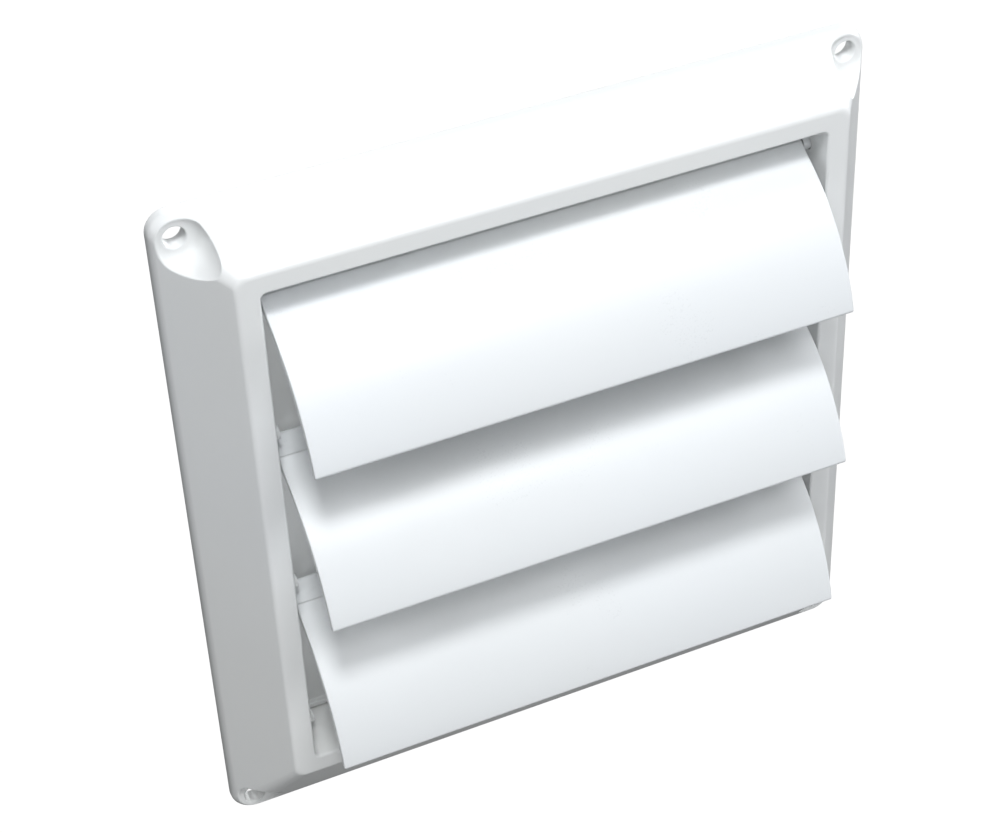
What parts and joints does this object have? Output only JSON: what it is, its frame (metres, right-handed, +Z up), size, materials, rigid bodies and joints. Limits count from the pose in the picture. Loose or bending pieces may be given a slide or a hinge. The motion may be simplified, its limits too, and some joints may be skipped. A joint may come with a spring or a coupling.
{
  "type": "louvered vent cover",
  "caption": "White plastic gravity vent cover: a bevelled square hood with hinged curved louvers, corner screw recesses and a round duct collar behind.",
  "frame": {"origin": "centre of the mounting flange in the wall plane, which is also the centre of the part's box with the louvers at rest", "axes": "+X to the right seen from outside, +Z up, +Y into the wall, so the louvers face -Y"},
  "size_m": [0.159, 0.0714, 0.1676],
  "materials": {
    "hood_frame_white": "semi-gloss white moulded plastic, fine mould texture",
    "louver_white": "semi-gloss white moulded plastic",
    "duct_collar_white": "satin white moulded plastic"
  },
  "bodies": {
    "hood": {"hood_frame": "hood_frame_white", "duct_collar": "duct_collar_white"},
    "upper_louver": {"louver_upper": "louver_white"},
    "middle_louver": {"louver_middle": "louver_white"},
    "lower_louver": {"louver_lower": "louver_white"}
  },
  "joints": [
    {"name": "louver_upper_hinge", "type": "hinge", "parent": "hood", "child": "upper_louver", "pos_m": [0, -0.0097, 0.0632], "axis": [-1, 0, 0], "range_deg": [-39.7, 44.3]},
    {"name": "louver_middle_hinge", "type": "hinge", "parent": "hood", "child": "middle_louver", "pos_m": [0, -0.0097, 0.0217], "axis": [-1, 0, 0], "range_deg": [-41.1, 42.9]},
    {"name": "louver_lower_hinge", "type": "hinge", "parent": "hood", "child": "lower_louver", "pos_m": [0, -0.0097, -0.0198], "axis": [-1, 0, 0], "range_deg": [-36.2, 47.8]}
  ]
}
